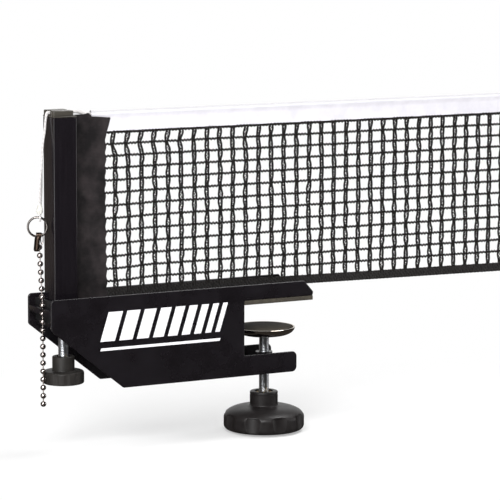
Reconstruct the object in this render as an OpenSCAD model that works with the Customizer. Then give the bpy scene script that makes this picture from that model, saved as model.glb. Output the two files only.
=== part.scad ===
// Table tennis net clamp: a steel bracket that grips the table's edge, a post
// that carries one end of the net, and the cord and ball chain that tension it.
// X runs along the net, Y across the table's edge line, Z up, all in millimetres.
// The origin lies on the clamp screw's axis, in the plane of the table top.

/* [Bracket] */
// Thickness of the bracket's sheet steel
sheet_t = 2; // [1.5:0.1:3]
// Width over both side plates
bracket_w = 42.5; // [38:0.5:50]
// Height of the side plates above the table top
plate_rise = 16; // [13:0.5:24]
// Depth of the side plates below the table top
plate_drop = 54.5; // [50:0.5:64]
// Height of the open jaw from the table top down to the lower arm
jaw_h = 38.5; // [36:0.5:44]
// From the clamp screw's axis back to the throat that meets the table's edge
jaw_depth = 28.5; // [26:0.5:36]
// From the clamp screw's axis to the upper arm's free end
upper_arm = 32; // [24:0.5:40]
// From the clamp screw's axis to the lower arm's free end
lower_arm = 17.5; // [15:0.5:26]
// From the post's axis to the plates' outer end
post_setback = 18; // [18:0.5:26]
// Height of the plates' outer edge below the table top
outer_edge_drop = 7; // [6:0.5:10]
// Run of the slanted lower edge along the plates
slant_run = 59.5; // [50:0.5:80]
// Thickness of the soft pad under the upper arm
pad_t = 4; // [2:0.5:6]

/* [Post] */
// From the table's edge to the post's outer face
side_reach = 154; // [140:0.5:170]
// Side of the square post
post_w = 19; // [16:0.5:20]
// Wall of the post
post_wall = 1.5; // [1:0.1:2]
// Height of the post's top above the table top
post_top = 149.6; // [130:0.1:160]
// Height of the cap above the post
cap_h = 5; // [4:0.1:8]
// Width of the slot that the net's sleeve passes through
slot_w = 2.2; // [2:0.1:4]

/* [Clamp screw] */
// Thread diameter of both screws
screw_d = 8; // [6:1:8]
// Thickness of the table that the jaw is set to
table_t = 20.5; // [15:0.5:25]
// Diameter of the pressure disc
disc_d = 48; // [40:1:54]
// Depth of the pressure disc's dish
dish_h = 6.4; // [6:0.1:8]
// Diameter of the clamp knob
knob_d = 62.8; // [50:0.1:70]
// Height of the clamp knob's body
knob_h = 18.5; // [16:0.5:24]
// Diameter of the clamp knob's hub
knob_hub_d = 21.8; // [20:0.1:26]
// Height of the clamp knob's hub
knob_hub_h = 11.5; // [9:0.5:14]
// Free length of screw between the dish and the clamp knob's hub
clamp_free = 44.3; // [43:0.1:52]

/* [Height screw] */
// Diameter of the height knob
small_knob_d = 31; // [26:0.1:31]
// Height of the height knob's body
small_knob_h = 9.5; // [8:0.5:12]
// Diameter of the height knob's hub
small_hub_d = 16.8; // [15:0.1:20]
// Height of the height knob's hub
small_hub_h = 11; // [9:0.5:14]
// Distance of the height knob's hub below the table top
small_hub_drop = 30; // [27:0.5:36]

/* [Net] */
// Height of the net's top edge above the table top
net_top = 152.5; // [135:0.5:165]
// Height of the net's lower edge above the table top, at the clamp screw
net_foot = 10.6; // [9.5:0.1:20]
// Slope of the net's lower edge, in thousandths
net_slope = 12.8; // [0:0.1:16]
// From the clamp screw's axis to the net's free end
net_reach = 236; // [150:1:300]
// Thickness of the netting
mesh_t = 1.2; // [0.8:0.1:2]
// Height of the white band along the net's top
band_h = 15.5; // [12:0.5:20]
// Thickness of the band's sewn part
band_t = 1.4; // [1:0.1:2]
// Height of the tape along the net's lower edge
tape_h = 5.5; // [4:0.5:8]
// Width of the end sleeve outside the post
sleeve_w = 28; // [20:0.5:36]
// Thickness of the end sleeve
sleeve_t = 2.6; // [2:0.1:3.4]
// Diameter of the rod inside the end sleeve
rod_d = 4; // [3:0.1:4.6]
// Diameter of the net's cord
cord_d = 2.8; // [2:0.1:3]

/* [Chain] */
// Diameter of the chain's beads
bead_d = 4.2; // [3.6:0.1:4.4]
// Distance from bead to bead
bead_pitch = 6.2; // [6:0.1:7]
// Diameter of the wire between beads
link_d = 0.9; // [0.8:0.1:1]
// Number of beads above the catch
beads_above = 8; // [6:1:8]
// Number of beads below the catch's own bead
beads_below = 11; // [7:1:14]
// Outer diameter of the split ring
ring_d = 16; // [14:0.5:18]
// Diameter of the split ring's wire
ring_wire = 1.7; // [1.4:0.1:2]

/* [Hidden] */
$fn = 64;

black = "#1c1a1f";
plastic = "#2b2926";
steel = "#b9bcc0";
brass = "#b08d4a";
felt = "#504c43";
fabric = "#2c2a2a";
white = "#eef0f2";
nickel = "#8f8a84";

run_gap = 0.05;   // radial clearance of a shaft that turns in its bore
slide_gap = 0.1;  // clearance of the post in its guide, each side
face_gap = 0.1;   // clearance between faces that turn against each other
eps = 1;          // how far a cutting solid runs past what it cuts

// Places along the net
throat_x = -jaw_depth;
post_x = throat_x - side_reach + post_w / 2;
outer_x = post_x - post_setback;
slant_x = outer_x + slant_run;

// Bracket
inner_y = bracket_w / 2 - sheet_t;
arm_z = -jaw_h;
bottom_z = -plate_drop;
web_top = pad_t + sheet_t;
corner_r = 3;
arm_r = 4;
pad_step = 0.4;   // how far the web is set back behind the pad's end
nose_run = 8;
nose_drop = 9;

// Screws
neck_d = screw_d - 2;
nut_h = 0.8 * screw_d + 0.1;
nut_flats = screw_d + 5;
bridge_t = 3;
clip_h = 1.2;
clip_d = neck_d + 5;

// Clamp screw, from the table's underside downwards
pad_disc_h = 2.8;
dish_t = 1.2;
dish_rim_z = -table_t - 0.3;
dish_z = dish_rim_z - dish_h;
clamp_hub_z = dish_z - clamp_free;
clamp_body_z = clamp_hub_z - knob_hub_h;
clamp_end_z = clamp_body_z - knob_h;
clamp_bridge_z = bottom_z + 4.5;
insert_wall = 2.5;

// Height screw, from the post's foot downwards
screw_shift = 1.5;   // from the post's axis to the screw's, which keeps its knob off the chain
screw_x = post_x + screw_shift;
post_foot_z = 0;
foot_h = 10;
height_bridge_z = -outer_edge_drop;
small_hub_z = -small_hub_drop;
small_body_z = small_hub_z - small_hub_h;
small_end_z = small_body_z - small_knob_h;
guide_top = plate_rise - 3;
guide_wall = 3;
guide_half = post_w / 2 + guide_wall;

// Net
post_right = post_x + post_w / 2;
post_left = post_x - post_w / 2;
sleeve_x = post_right + sleeve_w;
sleeve_top = post_top - 0.2;
sleeve_foot = net_foot + 1;
loop_t = 0.8;
rod_x = post_right - post_wall - loop_t - rod_d / 2 - 0.6;
rod_foot = foot_h + 4.5;
tunnel_t = 0.7;
cord_z = net_top - tunnel_t - cord_d / 2;
band_z = net_top - band_h;
band_inset = 15.5;   // from the post to the white band's end, inside the sleeve
band_x = post_right + band_inset;
band_end = net_reach + 8;
end_sleeve_w = 16;
tape_t = 1.6;
sleeve_waist_z = 90;   // height at which the netting pulls the sleeve in
mesh_rows = 12;
mesh_cols = 25;
yarn = 1.5;

// Cord and chain
cap_top = post_top + cap_h;
groove_z = post_top + 1.8;
groove_w = cord_d + 0.4;
cap_cord_z = groove_z + cord_d / 2;
tail_d = 2.4;
ring_r = (ring_d - ring_wire) / 2;
chain_x = outer_x + 1.7;
chain_y = -2.5;       // the catch's slot lies in front of the net's plane
hook_z = 3.6;
catch_t = bead_pitch - bead_d - 0.5;
catch_z = hook_z + bead_pitch / 2 - catch_t / 2;
top_bead_z = hook_z + beads_above * bead_pitch;
strap_t = 0.5;
strap_w = 3.8;
strap_gap = bead_d + 0.2;
strap_top = top_bead_z + 8;
ring_turn = 25;       // how far the ring has turned out of the net's plane
eye_shift = 1.9;      // from the ring's middle to the cord's eye, along the ring
hook_shift = 1.2;     // from the ring's middle to the connector, along the ring
ring_x = outer_x - 0.4;
ring_y = eye_shift * sin(ring_turn);
ring_z = strap_top + ring_r;
tail_x = ring_x + eye_shift * cos(ring_turn);
eye_z = ring_z + sqrt(ring_r * ring_r - eye_shift * eye_shift);
connector_x = ring_x + hook_shift * cos(ring_turn);
connector_y = ring_y - hook_shift * sin(ring_turn);
beads_to_pivot = 2;  // beads from the catch down to the tail's second pivot

// The cord's route over the cap and down to the ring, in the X-Z plane
tail_route = [
    [post_left - 0.1, cap_cord_z], [post_left - 0.7, cap_cord_z - 0.15],
    [post_left - 1.2, cap_cord_z - 0.8], [post_left - 1.5, cap_cord_z - 1.9],
    [post_left - 1.8, cap_cord_z - 3.4], [post_left - 2.3, cap_cord_z - 8],
    [post_left - 3.1, cap_cord_z - 15], [post_left - 4.4, cap_cord_z - 22],
    [post_left - 5.3, cap_cord_z - 33], [post_left - 6.1, cap_cord_z - 52],
    [tail_x, eye_z + 10], [tail_x, eye_z + 2.2]
];
net_cord_route = [
    [band_end + 6, cord_z], [band_x, cord_z], [band_x - 4, cord_z + 0.5],
    [post_right + 5, cap_cord_z - 0.2], [post_right, cap_cord_z], [post_left, cap_cord_z]
];

// Lower edge of the net, which falls slightly towards its free end
function foot_at(x) = net_foot - net_slope * x / 1000;

function unit(v) = v / norm(v);

// Points of an arc of radius r that rounds the corner b between a and c
function fillet(a, b, c, r) =
    r == 0 ? [b] :
    let (
        u = unit(a - b),
        v = unit(c - b),
        half = acos(u * v) / 2,
        p = b + u * r / tan(half),
        q = b + v * r / tan(half),
        centre = b + unit(u + v) * r / sin(half),
        start = atan2(p.y - centre.y, p.x - centre.x),
        raw = atan2(q.y - centre.y, q.x - centre.x) - start,
        turn = raw > 180 ? raw - 360 : raw < -180 ? raw + 360 : raw
    )
    [for (i = [0:6]) centre + r * [cos(start + turn * i / 6), sin(start + turn * i / 6)]];

// Outline whose corners [x, y, r] are rounded by r
function rounded(corners) =
    let (n = len(corners), at = [for (c = corners) [c.x, c.y]])
    [for (i = [0:n - 1]) each fillet(at[(i + n - 1) % n], at[i], at[(i + 1) % n], corners[i].z)];

// Direction of a flat route at its point i
function heading(route, i) =
    unit(route[min(i + 1, len(route) - 1)] - route[max(i - 1, 0)]);

// Ring of points round a flat route's point i
function tube_ring(route, i, r, sides) =
    let (t = heading(route, i), n = [-t.y, t.x])
    [for (k = [0:sides - 1])
        let (a = 360 * k / sides)
        [route[i].x + r * cos(a) * n.x, r * sin(a), route[i].y + r * cos(a) * n.y]];

// Extrudes a drawing of the X-Z plane across Y, from y0 to y1
module across(y0, y1) {
    translate([0, y1, 0])
        rotate([90, 0, 0])
            linear_extrude(y1 - y0)
                children();
}

// Round tube along a route in the X-Z plane
module tube(route, d) {
    sides = 8;
    n = len(route);
    last = (n - 1) * sides;
    points = [for (i = [0:n - 1]) each tube_ring(route, i, d / 2, sides)];
    walls = [for (i = [0:n - 2], k = [0:sides - 1])
        let (a = i * sides + k, b = i * sides + (k + 1) % sides)
        each [[a, b, b + sides], [a, b + sides, a + sides]]];
    caps = [
        [for (k = [sides - 1:-1:0]) k],
        [for (k = [0:sides - 1]) last + k]
    ];
    polyhedron(points, concat(walls, caps));
}

module rod(x, z0, z1, d) {
    translate([x, 0, z0])
        cylinder(h = z1 - z0, d = d);
}

module nut(x, z) {
    difference() {
        translate([x, 0, z])
            cylinder(h = nut_h, d = nut_flats / cos(30), $fn = 6);
        rod(x, z - eps, z + nut_h + eps, screw_d + 2 * run_gap);
    }
}

// Bar between the plates that carries a nut
module bridge(x0, x1, screw_x, z) {
    difference() {
        translate([x0, -inner_y, z])
            cube([x1 - x0, 2 * inner_y, bridge_t]);
        rod(screw_x, z - eps, z + bridge_t + eps, screw_d + 2 * slide_gap);
    }
}

module clip(x, z) {
    difference() {
        rod(x, z, z + clip_h, clip_d);
        rod(x, z - eps, z + clip_h + eps, neck_d);
    }
}

// Side plate's outline in the X-Z plane
module plate_outline() {
    polygon(rounded([
        [outer_x, plate_rise, corner_r],
        [upper_arm - nose_run, plate_rise, 1],
        [upper_arm, plate_rise - nose_drop, 1],
        [upper_arm - 0.5, pad_t, 0],
        [throat_x, pad_t, 0],
        [throat_x, arm_z, 0],
        [lower_arm, arm_z, arm_r],
        [lower_arm, bottom_z, arm_r],
        [slant_x, bottom_z, corner_r],
        [outer_x, -outer_edge_drop, corner_r]
    ]));
}

module front_plate() {
    color(black)
        across(-bracket_w / 2, -inner_y)
            plate_outline();
}

module rear_plate() {
    color(black)
        across(inner_y, bracket_w / 2)
            plate_outline();
}

// Folded web that joins the plates along the upper arm and the throat
module jaw_web() {
    color(black)
        across(-inner_y, inner_y)
            polygon([
                [throat_x - sheet_t, web_top], [upper_arm - 2, web_top], [upper_arm - 2, pad_t],
                [throat_x - pad_step, pad_t], [throat_x - pad_step, 0], [throat_x, 0],
                [throat_x, arm_z - 6], [throat_x - sheet_t, arm_z - 6]
            ]);
}

module table_pad() {
    color(felt)
        translate([throat_x, -bracket_w / 2, 0])
            cube([jaw_depth + upper_arm - 0.5, bracket_w, pad_t]);
}

module clamp_bridge() {
    color(black)
        bridge(throat_x + 6, lower_arm - 4, 0, clamp_bridge_z);
}

module clamp_nut() {
    color(steel)
        nut(0, clamp_bridge_z + bridge_t);
}

module height_bridge() {
    color(black)
        bridge(post_x - guide_half, post_x + guide_half, screw_x, height_bridge_z);
}

module height_nut() {
    color(steel)
        nut(screw_x, height_bridge_z - nut_h);
}

// Block between the plates that the post slides in, slotted for the net's sleeve
module post_guide() {
    foot = height_bridge_z + bridge_t;
    bore = post_w / 2 + slide_gap;
    color(plastic)
        translate([post_x, 0, foot])
            difference() {
                translate([-guide_half, -inner_y, 0])
                    cube([2 * guide_half, 2 * inner_y, guide_top - foot]);
                translate([-bore, -bore, -eps])
                    cube([2 * bore, 2 * bore, guide_top - foot + 2 * eps]);
                translate([0, -sleeve_t / 2 - 0.7, -eps])
                    cube([guide_half + eps, sleeve_t + 1.4, guide_top - foot + 2 * eps]);
            }
}

// Notched strip that holds the chain by one bead against the cord's pull
module chain_catch() {
    x0 = outer_x + 0.1;
    x1 = post_x - guide_half;
    slot = link_d + 0.7;
    bead_room = bead_d + 1.2;
    lip_z = catch_z - 3;
    color(black)
        difference() {
            union() {
                translate([x0, -inner_y, catch_z])
                    cube([x1 - x0, 2 * inner_y, catch_t]);
                translate([x0, -inner_y, lip_z])
                    cube([catch_t, 2 * inner_y, 3]);
                translate([x1 - catch_t, -inner_y, lip_z])
                    cube([catch_t, 2 * inner_y, 3]);
            }
            translate([0, chain_y, 0])
                union() {
                    translate([x0 - eps, -slot / 2, lip_z])
                        cube([chain_x - x0 + eps, slot, 3 + catch_t + eps]);
                    rod(chain_x, lip_z, catch_z + catch_t + eps, slot);
                    translate([x0 - eps, -bead_room / 2, lip_z - eps])
                        cube([chain_x - x0 + bead_room / 2 + eps, bead_room, 3 + eps]);
                }
        }
}

// Split ring, drawn as its two touching turns
module split_ring() {
    turn_y = ring_wire / 4;
    color(nickel)
        translate([ring_x, ring_y, ring_z])
            rotate([90, 0, -ring_turn])
                union() {
                    for (side = [-1, 1])
                        translate([0, 0, side * turn_y])
                            rotate_extrude()
                                translate([ring_r, 0])
                                    circle(d = ring_wire, $fn = 24);
                }
}

// Crimped sleeve that closes the cord's eye above the ring
module cord_crimp() {
    z0 = eye_z + 3.2;
    color(white)
        difference() {
            rod(tail_x, z0, z0 + 5, tail_d + 2);
            rod(tail_x, z0 - eps, z0 + 5 + eps, tail_d + 2 * run_gap);
        }
}

// Folded strap that hangs from the ring and grips the chain's top bead
module chain_connector() {
    outer = strap_gap / 2 + strap_t;
    bend_z = strap_top - strap_gap / 2 + ring_wire / 2 + 1.5;
    foot = top_bead_z - bead_d / 2 - 0.9;
    slot = link_d + 0.8;
    color(nickel)
        translate([connector_x, connector_y, 0])
            rotate([0, 0, -ring_turn])
                translate([-strap_w / 2, 0, 0])
                    rotate([90, 0, 90])
                        linear_extrude(strap_w)
                            union() {
                                difference() {
                                    translate([0, bend_z])
                                        circle(r = outer);
                                    translate([0, bend_z])
                                        circle(r = strap_gap / 2);
                                    translate([-2 * outer, bend_z - 3 * outer])
                                        square([4 * outer, 3 * outer]);
                                }
                                for (side = [0, 1])
                                    mirror([side, 0])
                                        union() {
                                            translate([strap_gap / 2, foot])
                                                square([strap_t, bend_z - foot]);
                                            translate([slot / 2, foot])
                                                square([strap_gap / 2 - slot / 2 + strap_t, strap_t]);
                                        }
                            }
}

// Middle of the bead that lies i beads above the catch, on the way to the connector
function bead_at(i) =
    let (share = (i - 1) / (beads_above - 1))
    [
        chain_x + share * (connector_x - chain_x),
        chain_y + share * (connector_y - chain_y),
        hook_z + i * bead_pitch
    ];

module bead(at) {
    translate(at)
        sphere(d = bead_d, $fn = 32);
}

// Straight wire from a to b
module link(a, b) {
    run = b - a;
    translate(a)
        rotate([0, acos(run.z / norm(run)), atan2(run.y, run.x)])
            cylinder(h = norm(run), d = link_d);
}

// The taut chain from the connector down through the catch
module chain_upper() {
    foot = hook_z + bead_d / 2 + face_gap;
    color(nickel)
        union() {
            link([chain_x, chain_y, foot], bead_at(1));
            for (i = [1:beads_above])
                bead(bead_at(i));
            for (i = [1:beads_above - 1])
                link(bead_at(i), bead_at(i + 1));
        }
}

module beads_down(from, to) {
    union() {
        for (i = [from:to])
            bead([chain_x, chain_y, hook_z - i * bead_pitch]);
        if (to > from)
            link(
                [chain_x, chain_y, hook_z - to * bead_pitch],
                [chain_x, chain_y, hook_z - from * bead_pitch]
            );
    }
}

// The chain's free tail: first the bead held by the catch and the next ones
module chain_tail_upper() {
    color(nickel)
        beads_down(0, beads_to_pivot);
}

module chain_tail_lower() {
    top = hook_z - beads_to_pivot * bead_pitch - bead_d / 2 - face_gap;
    color(nickel)
        union() {
            beads_down(beads_to_pivot + 1, beads_below);
            link(
                [chain_x, chain_y, hook_z - (beads_to_pivot + 1) * bead_pitch],
                [chain_x, chain_y, top]
            );
        }
}

// Pressed dish that bears on the table's underside
module pressure_disc() {
    wall_run = 10;
    flat_r = disc_d / 2 - wall_run;
    outer = [for (a = [-90:9:0]) [flat_r + wall_run * cos(a), dish_rim_z + dish_h * sin(a)]];
    inner = [for (a = [0:-9:-90])
        [flat_r + (wall_run - dish_t) * cos(a), dish_rim_z + (dish_h - dish_t) * sin(a)]];
    hole_r = neck_d / 2 + run_gap;
    color(steel)
        rotate_extrude($fn = 96)
            polygon(concat([[hole_r, dish_z]], outer, inner, [[hole_r, dish_z + dish_t]]));
}

module disc_pad() {
    color(plastic)
        rod(0, -table_t - pad_disc_h, -table_t, disc_d - 4.8);
}

module clamp_screw() {
    neck_top = -table_t - pad_disc_h - 0.3;
    color(steel)
        union() {
            rod(0, clamp_body_z - 10, dish_z - face_gap, screw_d);
            rod(0, dish_z - face_gap, neck_top, neck_d);
        }
}

module clamp_clip() {
    color(steel)
        clip(0, dish_z + dish_t + face_gap);
}

// Brass insert that a knob is moulded round
module insert(x, z0, z1, d) {
    color(brass)
        difference() {
            rod(x, z0, z1, d);
            rod(x, z0 - eps, z1 + eps, screw_d);
        }
}

module clamp_knob_insert() {
    insert(0, clamp_body_z - 10, clamp_hub_z - 1, screw_d + 2 * insert_wall);
}

// Domed hand knob with nine shallow grips
module clamp_knob() {
    r = knob_d / 2;
    hub_r = knob_hub_d / 2;
    grips = 9;
    grip_r = 22;
    grip_depth = 1.8;
    top = clamp_body_z;
    shoulder = 8.5;
    color(plastic)
        difference() {
            rotate_extrude($fn = 96)
                polygon(concat(
                    [[0, clamp_end_z + 1.5], [r - 9, clamp_end_z + 1.5], [r - 8, clamp_end_z]],
                    [for (a = [-90:15:0]) [r - 4 + 4 * cos(a), clamp_end_z + 4 + 4 * sin(a)]],
                    [for (a = [0:10:90]) [hub_r + (r - hub_r) * cos(a), top - shoulder + shoulder * sin(a)]],
                    [[hub_r, clamp_hub_z - 0.8], [hub_r - 0.8, clamp_hub_z], [0, clamp_hub_z]]
                ));
            rod(0, clamp_body_z - 10, clamp_hub_z - 1, screw_d + 2 * insert_wall);
            rod(0, clamp_hub_z - 1 - eps, clamp_hub_z + eps, screw_d + 2 * insert_wall);
            for (i = [0:grips - 1])
                rotate([0, 0, i * 360 / grips + 25])
                    translate([r + grip_r - grip_depth, 0, clamp_end_z - eps])
                        cylinder(h = knob_h / 2 + eps, r = grip_r);
        }
}

// Square tube, open along the side that faces the net
module post() {
    r = post_w / 2;
    color(black)
        translate([post_x, 0, post_foot_z])
            linear_extrude(post_top - post_foot_z)
                difference() {
                    polygon(rounded([[-r, -r, 1], [r, -r, 1], [r, r, 1], [-r, r, 1]]));
                    square(post_w - 2 * post_wall, center = true);
                    translate([0, -slot_w / 2])
                        square([post_w, slot_w]);
                }
}

// Cap with a groove for the cord and a plug that fills half of the tube
module post_cap() {
    r = post_w / 2;
    inner = r - post_wall;
    color(plastic)
        translate([post_x, 0, 0])
            difference() {
                union() {
                    intersection() {
                        across(-r, r)
                            polygon(rounded([
                                [-r, post_top, 0], [r, post_top, 0], [r, cap_top - 2.6, 0.5],
                                [r - 3, cap_top, 1], [-r + 2.4, cap_top, 1], [-r, cap_top - 2.4, 1]
                            ]));
                        translate([0, 0, post_top])
                            linear_extrude(cap_h)
                                polygon(rounded([[-r, -r, 3], [r, -r, 3], [r, r, 3], [-r, r, 3]]));
                    }
                    translate([-inner, -inner, post_top - 10])
                        cube([inner - 0.5, 2 * inner, 10 + 1]);
                }
                translate([-r - eps, -groove_w / 2, groove_z])
                    cube([post_w + 2 * eps, groove_w, cap_h]);
            }
}

module post_foot() {
    w = post_w - 2 * post_wall;
    color(plastic)
        difference() {
            translate([post_x - w / 2, -w / 2, post_foot_z])
                cube([w, w, foot_h]);
            rod(screw_x, post_foot_z - eps, post_foot_z + foot_h + eps, neck_d + 2 * run_gap);
        }
}

module sleeve_rod() {
    color(steel)
        rod(rod_x, rod_foot, sleeve_top - 1, rod_d);
}

// Band along the top edge, folded round the cord and sewn to the netting
module net_band() {
    color(white)
        translate([band_x, 0, 0])
            rotate([90, 0, 90])
                linear_extrude(band_end - band_x)
                    difference() {
                        union() {
                            translate([0, cord_z])
                                circle(d = cord_d + 2 * tunnel_t);
                            translate([-band_t / 2, band_z])
                                square([band_t, cord_z - band_z]);
                        }
                        translate([0, cord_z])
                            circle(d = cord_d);
                    }
}

// Black end sleeve: it loops round the rod inside the post and holds the net's edge
module net_sleeve() {
    neck_t = slot_w - 0.6;
    neck_end = post_right + 2.5;
    color(fabric)
        difference() {
            union() {
                rod(rod_x, rod_foot, sleeve_top - 1, rod_d + 2 * loop_t);
                translate([rod_x, -neck_t / 2, rod_foot])
                    cube([neck_end + eps - rod_x, neck_t, sleeve_top - 1 - rod_foot]);
                across(-sleeve_t / 2, sleeve_t / 2)
                    polygon([
                        [neck_end, sleeve_foot], [sleeve_x + 0.6, sleeve_foot],
                        [sleeve_x - 0.6, sleeve_waist_z],
                        [sleeve_x, band_z], [sleeve_x + 3, sleeve_top - 2], [neck_end, sleeve_top]
                    ]);
            }
            rod(rod_x, rod_foot - eps, sleeve_top + eps, rod_d);
            translate([0, -band_t / 2, band_z])
                translate([band_x, 0, 0])
                    cube([sleeve_w, band_t, band_h]);
            translate([band_x, 0, cord_z])
                rotate([0, 90, 0])
                    cylinder(h = sleeve_w, d = cord_d + 2 * tunnel_t);
        }
}

// Sleeve that closes the net's free end
module net_end_sleeve() {
    color(fabric)
        difference() {
            across(-sleeve_t / 2, sleeve_t / 2)
                polygon([
                    [net_reach, foot_at(net_reach)], [net_reach + end_sleeve_w, foot_at(net_reach)],
                    [net_reach + end_sleeve_w, sleeve_top], [net_reach, sleeve_top]
                ]);
            translate([net_reach - eps, -band_t / 2, band_z])
                cube([band_end - net_reach + eps, band_t, band_h]);
            translate([net_reach - eps, 0, cord_z])
                rotate([0, 90, 0])
                    cylinder(h = end_sleeve_w + 2 * eps, d = cord_d + 2 * tunnel_t);
        }
}

// Netting, a flat grid of gaps between the band, the tape and both sleeves
module net_mesh() {
    x0 = sleeve_x + 0.6;
    step = (net_reach - x0) / mesh_cols;
    rise = function (x, row) foot_at(x) + tape_h + (band_z - foot_at(x) - tape_h) * row / mesh_rows;
    h = yarn / 2;
    color(fabric)
        across(-mesh_t / 2, mesh_t / 2)
            difference() {
                polygon([
                    [x0, rise(x0, 0)], [net_reach, rise(net_reach, 0)],
                    [net_reach, band_z], [x0, band_z]
                ]);
                for (col = [0:mesh_cols - 1], row = [0:mesh_rows - 1]) {
                    left = x0 + col * step + h;
                    right = x0 + (col + 1) * step - h;
                    polygon([
                        [left, rise(left, row) + h], [right, rise(right, row) + h],
                        [right, rise(right, row + 1) - h], [left, rise(left, row + 1) - h]
                    ]);
                }
            }
}

module net_tape() {
    x0 = sleeve_x + 0.6;
    color(fabric)
        across(-tape_t / 2, tape_t / 2)
            polygon([
                [x0, foot_at(x0)], [net_reach, foot_at(net_reach)],
                [net_reach, foot_at(net_reach) + tape_h], [x0, foot_at(x0) + tape_h]
            ]);
}

module net_cord() {
    color(white)
        tube(net_cord_route, cord_d - 0.1);
}

// The cord's end, from the cap's edge to the eye that holds the ring
module cord_tail() {
    eye_r = ring_wire / 2 + ring_wire / 4 + 0.3 + 0.8;
    color(white)
        union() {
            tube(tail_route, tail_d);
            translate([tail_x, 0, eye_z])
                rotate([0, 90, -ring_turn])
                    rotate_extrude($fn = 32)
                        translate([eye_r, 0])
                            circle(r = 0.8, $fn = 16);
        }
}

module height_screw() {
    color(steel)
        union() {
            rod(screw_x, small_body_z - 5, post_foot_z - face_gap, screw_d);
            rod(screw_x, post_foot_z - face_gap, foot_h + face_gap + clip_h + 0.8, neck_d);
        }
}

module height_clip() {
    color(steel)
        clip(screw_x, post_foot_z + foot_h + face_gap);
}

module height_knob_insert() {
    insert(screw_x, small_body_z - 5, small_hub_z - 1, screw_d + 2 * insert_wall);
}

// Small fluted knob that raises and lowers the post
module height_knob() {
    r = small_knob_d / 2;
    hub_r = small_hub_d / 2;
    flutes = 12;
    flute_r = 5;
    flute_depth = 0.6;
    color(plastic)
        translate([screw_x, 0, 0])
            difference() {
                rotate_extrude($fn = 96)
                    polygon(rounded([
                        [0, small_end_z, 0], [r, small_end_z, 1], [r, small_body_z, 1.5],
                        [hub_r, small_body_z, 0], [hub_r, small_hub_z, 0.6], [0, small_hub_z, 0]
                    ]));
                rod(0, small_body_z - 5, small_hub_z + eps, screw_d + 2 * insert_wall);
                for (i = [0:flutes - 1])
                    rotate([0, 0, (i + 0.5) * 360 / flutes])
                        translate([r + flute_r - flute_depth, 0, small_end_z - eps])
                            cylinder(h = small_knob_h - 0.5, r = flute_r, $fn = 32);
            }
}

front_plate();
rear_plate();
jaw_web();
table_pad();
clamp_bridge();
clamp_nut();
height_bridge();
height_nut();
post_guide();
chain_catch();
split_ring();
cord_crimp();
chain_connector();
chain_upper();
pressure_disc();
disc_pad();
clamp_screw();
clamp_clip();
clamp_knob();
clamp_knob_insert();
post();
post_cap();
post_foot();
sleeve_rod();
net_sleeve();
net_mesh();
net_band();
net_tape();
net_end_sleeve();
net_cord();
cord_tail();
height_screw();
height_clip();
height_knob();
height_knob_insert();
chain_tail_upper();
chain_tail_lower();
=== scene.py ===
# %% [markdown]
# # Table tennis net clamp
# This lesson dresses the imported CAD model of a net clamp: two black steel side plates that grip the
# table's edge, a square post, a net with a white band, a cord, a split ring and a ball chain. The CAD
# frame is loaded first. It gives every piece its place, so nothing has to be fitted by eye.

# %% Load the frame
import math
import random

import bpy
from mathutils import Matrix, Vector, noise


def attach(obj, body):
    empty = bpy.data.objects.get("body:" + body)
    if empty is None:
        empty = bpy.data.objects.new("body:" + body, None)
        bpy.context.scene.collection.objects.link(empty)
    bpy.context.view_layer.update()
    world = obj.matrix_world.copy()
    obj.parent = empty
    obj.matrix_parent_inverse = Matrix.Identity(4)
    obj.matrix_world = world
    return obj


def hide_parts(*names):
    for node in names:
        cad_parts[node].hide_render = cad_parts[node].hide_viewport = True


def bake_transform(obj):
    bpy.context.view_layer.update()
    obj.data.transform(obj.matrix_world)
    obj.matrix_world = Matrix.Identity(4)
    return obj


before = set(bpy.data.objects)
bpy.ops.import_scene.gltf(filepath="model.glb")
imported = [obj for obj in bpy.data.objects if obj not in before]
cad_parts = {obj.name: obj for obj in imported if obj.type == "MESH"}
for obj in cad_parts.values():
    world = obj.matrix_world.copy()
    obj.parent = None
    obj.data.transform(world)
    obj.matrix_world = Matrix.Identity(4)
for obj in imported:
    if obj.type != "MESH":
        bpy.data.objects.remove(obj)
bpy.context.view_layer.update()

MM = 0.001

# %% [markdown]
# ## Small tools
# Blender's operators act on whatever is selected, and the loaded nodes are selected at the start. So the
# first tools clear the selection and pick one object. Edges, spins and copies are made with them.

# %% Selecting and editing
scene = bpy.context.scene
scene.view_settings.view_transform = "Standard"


def only(*pieces):
    """Selects these objects and nothing else, and makes the last one active."""
    bpy.ops.object.select_all(action="DESELECT")
    for piece in pieces:
        piece.select_set(True)
    bpy.context.view_layer.objects.active = pieces[-1]


def edit(piece):
    """Opens a piece in edit mode with everything selected."""
    only(piece)
    bpy.ops.object.mode_set(mode="EDIT")
    bpy.ops.mesh.select_all(action="SELECT")


def close():
    bpy.ops.object.mode_set(mode="OBJECT")


def pick(piece, test):
    """In edit mode, selects only the vertices whose place passes the test."""
    close()
    for part in (piece.data.polygons, piece.data.edges):
        for item in part:
            item.select = False
    for vertex in piece.data.vertices:
        vertex.select = bool(test(vertex.co))
    bpy.ops.object.mode_set(mode="EDIT")
    bpy.ops.mesh.select_mode(type="VERT")


def face_outward(piece):
    """Turns the faces of a mesh so that they all look outwards."""
    edit(piece)
    bpy.ops.mesh.normals_make_consistent(inside=False)
    close()


def modifier(piece, kind, **settings):
    """Adds a modifier with its settings and applies it."""
    only(piece)
    m = piece.modifiers.new(kind.title(), kind)
    for name, value in settings.items():
        setattr(m, name, value)
    bpy.ops.object.modifier_apply(modifier=m.name)


# %% Making, copying and joining
def object_of(name, mesh):
    piece = bpy.data.objects.new(name, mesh)
    scene.collection.objects.link(piece)
    return piece


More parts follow.
